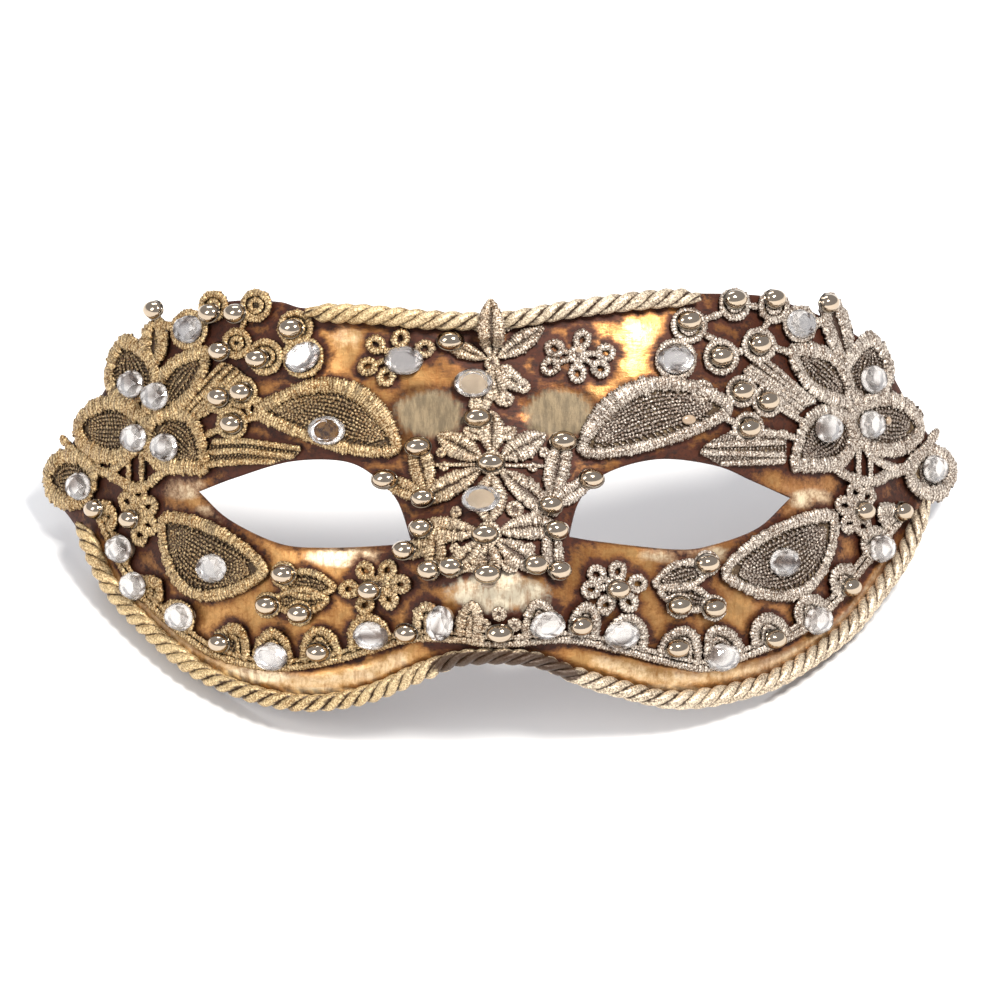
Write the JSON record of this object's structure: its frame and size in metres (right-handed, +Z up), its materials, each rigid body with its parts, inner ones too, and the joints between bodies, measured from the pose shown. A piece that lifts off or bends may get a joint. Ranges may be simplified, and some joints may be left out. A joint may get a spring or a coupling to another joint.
{
  "type": "colombina mask",
  "caption": "Half-face carnival mask with almond eye holes, a gilded shell edged in twisted cord and dressed with corded lace, clear faceted stones and half-round metal beads.",
  "frame": {"origin": "middle of the bounding box, on the table that the mask lies on", "axes": "+X from temple to temple, to the wearer's left; +Y from the chin edge towards the forehead; +Z up, out of the table: the mask lies face up with its nose line tilted 51 degrees"},
  "size_m": [0.1998, 0.0956, 0.0832],
  "materials": {
    "gilt_shell": "patinated gold leaf on papier-mache, brown in the recesses",
    "cord": "twisted metallic thread, dull old gold",
    "lace": "corded metallic lace, golden beige",
    "stone": "clear faceted flat-back stone",
    "bead": "polished half-round dome, pale gold"
  },
  "bodies": {
    "root": {"mask_shell": "gilt_shell", "cord_upper": "cord", "cord_lower": "cord", "lace_border": "lace", "lace_cheek_left": "lace", "lace_cheek_right": "lace", "lace_forehead": "lace", "lace_nose": "lace", "lace_scroll_left": "lace", "lace_scroll_right": "lace", "lace_temple_left": "lace", "lace_temple_right": "lace", "flower_cheek_inner_left": "lace", "flower_cheek_inner_right": "lace", "flower_cheek_outer_left": "lace", "flower_cheek_outer_right": "lace", "flower_forehead_left": "lace", "flower_forehead_right": "lace", "stone_border_left_1": "stone", "stone_border_left_2": "stone", "stone_border_left_3": "stone", "stone_border_left_4": "stone", "stone_border_left_5": "stone", "stone_border_left_6": "stone", "stone_border_right_1": "stone", "stone_border_right_2": "stone", "stone_border_right_3": "stone", "stone_border_right_4": "stone", "stone_border_right_5": "stone", "stone_brow_left": "stone", "stone_brow_left_ring": "stone", "stone_brow_right_ring": "stone", "stone_cheek_left_leaf": "stone", "stone_cheek_right_leaf": "stone", "stone_forehead_left": "stone", "stone_forehead_middle": "stone", "stone_nose": "stone", "stone_temple_left_corner": "stone", "stone_temple_left_heart": "stone", "stone_temple_left_inner": "stone", "stone_temple_left_outer": "stone", "stone_temple_left_ring": "stone", "stone_temple_left_upper": "stone", "stone_temple_right_corner": "stone", "stone_temple_right_inner": "stone", "stone_temple_right_outer": "stone", "stone_temple_right_ring": "stone", "stone_temple_right_upper": "stone", "bead_border_middle": "bead", "bead_forehead_middle": "bead", "bead_nose_bridge": "bead", "bead_nose_middle": "bead", "bead_nose_tip": "bead", "bead_sprig_left": "bead", "bead_sprig_right": "bead"}
  },
  "joints": []
}
